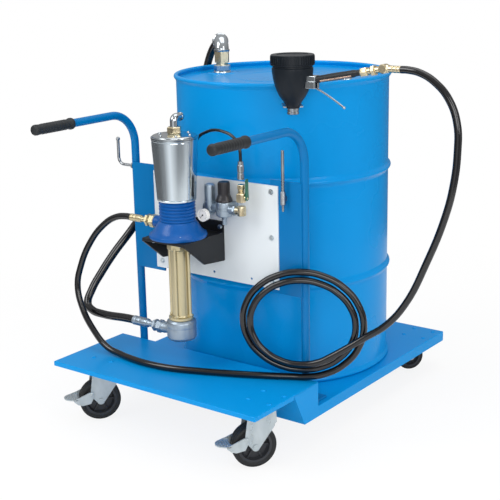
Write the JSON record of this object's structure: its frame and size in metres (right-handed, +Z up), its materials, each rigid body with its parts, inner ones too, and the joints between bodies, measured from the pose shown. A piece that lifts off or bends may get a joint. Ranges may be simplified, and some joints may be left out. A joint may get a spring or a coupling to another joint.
{
  "type": "drum trolley with air-operated transfer pump",
  "caption": "Mobile drum trolley with a steel drum, an air-operated piston pump on a handle-mounted panel, air regulator, suction and delivery hoses and a dispensing gun.",
  "frame": {"origin": "centre of the footprint on the floor, under the casters, measured without the free hoses", "axes": "+X to the right of someone at the handles, +Y from the handles towards the drum, +Z up"},
  "size_m": [1.0596, 1.02, 0.9844],
  "materials": {
    "deck_paint": "gloss powder coat",
    "drum_paint": "gloss enamel",
    "column_paint": "gloss powder coat",
    "zinc_plate": "bright zinc plated",
    "wheel_plastic": "satin",
    "tyre_rubber": "satin",
    "grip_rubber": "satin",
    "panel_sheet": "satin",
    "bracket_black": "satin",
    "casting_blue": "gloss",
    "motor_chrome": "polished",
    "brass": "satin",
    "barrel_zinc": "yellow zinc plated",
    "foot_alloy": "cast, satin",
    "steel": "ground",
    "knob_plastic": "satin",
    "gauge_white": "gloss",
    "needle_black": "matt",
    "lever_green": "gloss",
    "hose_rubber": "smooth",
    "gun_black": "satin",
    "gun_chrome": "polished"
  },
  "bodies": {
    "trolley": {"front_deck": "deck_paint", "cross_beam": "deck_paint", "low_floor": "deck_paint", "caster_plates": "zinc_plate", "caster_bolts": "zinc_plate", "drum_shell": "drum_paint", "drum_head": "drum_paint", "small_bung": "zinc_plate", "bung_nut": "zinc_plate", "suction_pipe": "brass", "drum_elbow": "motor_chrome", "left_column": "column_paint", "right_column": "column_paint", "grips": "grip_rubber", "hose_hook": "steel", "panel": "panel_sheet", "panel_bolts": "zinc_plate", "pump_bracket": "bracket_black", "spare_spout": "steel", "pump_casting": "casting_blue", "motor_cylinder": "motor_chrome", "motor_cap": "motor_chrome", "exhaust_elbow": "brass", "pump_barrel": "barrel_zinc", "foot_valve": "foot_alloy", "inlet_fitting": "barrel_zinc", "outlet_fitting": "barrel_zinc", "regulator": "zinc_plate", "gauge": "gauge_white", "air_valve": "brass", "air_hose": "hose_rubber", "rim_hook": "steel", "gun_bell": "gun_black", "gun_body": "gun_chrome", "gun_swivel": "brass", "suction_hose": "hose_rubber", "delivery_hose": "hose_rubber", "hose_coil": "hose_rubber", "gun_hose": "hose_rubber"},
    "front_left_caster": {"front_left_fork": "zinc_plate"},
    "front_left_rolling": {"front_left_wheel": "wheel_plastic", "front_left_tyre": "tyre_rubber"},
    "front_left_brake": {"front_left_pedal": "zinc_plate"},
    "front_right_caster": {"front_right_fork": "zinc_plate"},
    "front_right_rolling": {"front_right_wheel": "wheel_plastic", "front_right_tyre": "tyre_rubber"},
    "front_right_brake": {"front_right_pedal": "zinc_plate"},
    "rear_left_caster": {"rear_left_fork": "zinc_plate"},
    "rear_left_rolling": {"rear_left_wheel": "wheel_plastic", "rear_left_tyre": "tyre_rubber"},
    "rear_right_caster": {"rear_right_fork": "zinc_plate"},
    "rear_right_rolling": {"rear_right_wheel": "wheel_plastic", "rear_right_tyre": "tyre_rubber"},
    "pump_piston": {"air_piston": "steel", "pump_rod": "steel"},
    "foot_check_ball": {"foot_ball": "steel"},
    "pressure_knob": {"regulator_knob": "knob_plastic"},
    "gauge_pointer": {"gauge_needle": "needle_black"},
    "valve_handle": {"valve_lever": "lever_green"},
    "gun_lever": {"gun_trigger": "gun_chrome"}
  },
  "joints": [
    {"name": "front_left_swivel", "type": "hinge", "parent": "trolley", "child": "front_left_caster", "pos_m": [-0.33, -0.318, 0.055], "axis": [0, 0, 1], "continuous": true},
    {"name": "front_left_spin", "type": "hinge", "parent": "front_left_caster", "child": "front_left_rolling", "pos_m": [-0.35155, -0.34558, 0.055], "axis": [0.788, -0.6157, 0], "continuous": true},
    {"name": "front_left_brake_press", "type": "hinge", "parent": "front_left_caster", "child": "front_left_brake", "pos_m": [-0.36632, -0.36449, 0.077], "axis": [0.788, -0.6157, 0], "range_deg": [0, 12]},
    {"name": "front_right_swivel", "type": "hinge", "parent": "trolley", "child": "front_right_caster", "pos_m": [0.182, -0.318, 0.055], "axis": [0, 0, 1], "continuous": true},
    {"name": "front_right_spin", "type": "hinge", "parent": "front_right_caster", "child": "front_right_rolling", "pos_m": [0.16045, -0.34558, 0.055], "axis": [0.788, -0.6157, 0], "continuous": true},
    {"name": "front_right_brake_press", "type": "hinge", "parent": "front_right_caster", "child": "front_right_brake", "pos_m": [0.14568, -0.36449, 0.077], "axis": [0.788, -0.6157, 0], "range_deg": [0, 12]},
    {"name": "rear_left_swivel", "type": "hinge", "parent": "trolley", "child": "rear_left_caster", "pos_m": [-0.376, 0.456, 0.04], "axis": [0, 0, 1], "continuous": true},
    {"name": "rear_left_spin", "type": "hinge", "parent": "rear_left_caster", "child": "rear_left_rolling", "pos_m": [-0.39447, 0.43236, 0.04], "axis": [0.788, -0.6157, 0], "continuous": true},
    {"name": "rear_right_swivel", "type": "hinge", "parent": "trolley", "child": "rear_right_caster", "pos_m": [0.176, 0.456, 0.04], "axis": [0, 0, 1], "continuous": true},
    {"name": "rear_right_spin", "type": "hinge", "parent": "rear_right_caster", "child": "rear_right_rolling", "pos_m": [0.15753, 0.43236, 0.04], "axis": [0.788, -0.6157, 0], "continuous": true},
    {"name": "pump_stroke", "type": "slide", "parent": "trolley", "child": "pump_piston", "axis": [0, 0, 1], "range_m": [0, 0.075]},
    {"name": "foot_ball_lift", "type": "slide", "parent": "trolley", "child": "foot_check_ball", "axis": [0, 0, 1], "range_m": [0, 0.005]},
    {"name": "pressure_set", "type": "hinge", "parent": "trolley", "child": "pressure_knob", "pos_m": [-0.021, -0.2037, 0.588], "axis": [0, 0, 1], "range_deg": [0, 720]},
    {"name": "gauge_sweep", "type": "hinge", "parent": "trolley", "child": "gauge_pointer", "pos_m": [-0.057, -0.2337, 0.575], "axis": [0, -1, 0], "range_deg": [-270, 0]},
    {"name": "air_valve_turn", "type": "hinge", "parent": "trolley", "child": "valve_handle", "pos_m": [0.033, -0.2037, 0.622], "axis": [1, 0, 0], "range_deg": [0, 90]},
    {"name": "gun_squeeze", "type": "hinge", "parent": "trolley", "child": "gun_lever", "pos_m": [0.1912, -0.12804, 0.896], "axis": [0, -1, 0], "range_deg": [0, 15], "stiffness_Nm_per_rad": 0.5, "springref_deg": -5.73}
  ]
}
